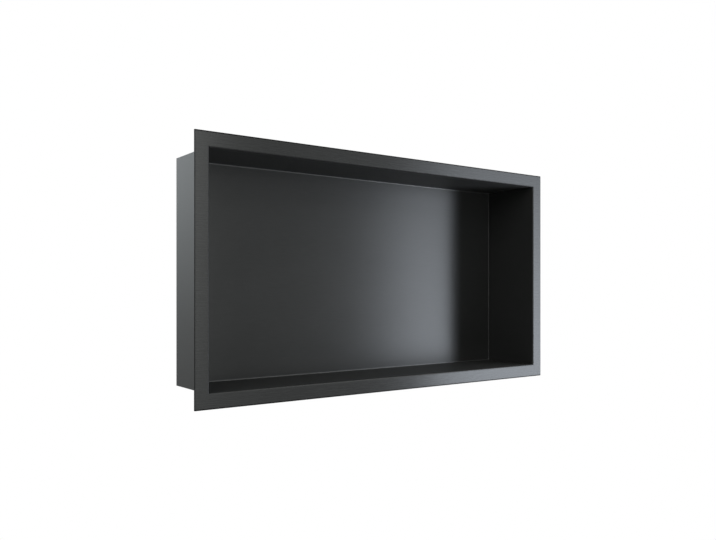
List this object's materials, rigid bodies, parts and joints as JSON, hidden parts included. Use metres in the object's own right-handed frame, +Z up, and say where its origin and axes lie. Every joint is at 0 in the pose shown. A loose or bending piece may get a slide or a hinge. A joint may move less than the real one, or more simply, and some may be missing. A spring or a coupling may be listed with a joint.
{
  "type": "shower niche insert",
  "caption": "Recessed shelf tray for a shower wall, folded from one gunmetal steel sheet, with a flat flange round its mouth that covers the cut edge of the wall.",
  "frame": {"origin": "centre of the opening, in the plane of the flange's back face, which lies on the finished wall", "axes": "+X to the right seen from the room, +Y into the wall, +Z up"},
  "size_m": [0.64, 0.1, 0.34],
  "materials": {
    "gunmetal_steel": "gunmetal coating over finely brushed stainless steel, satin, with a slightly blue grey tint"
  },
  "bodies": {
    "root": {"niche_body": "gunmetal_steel"}
  },
  "joints": []
}
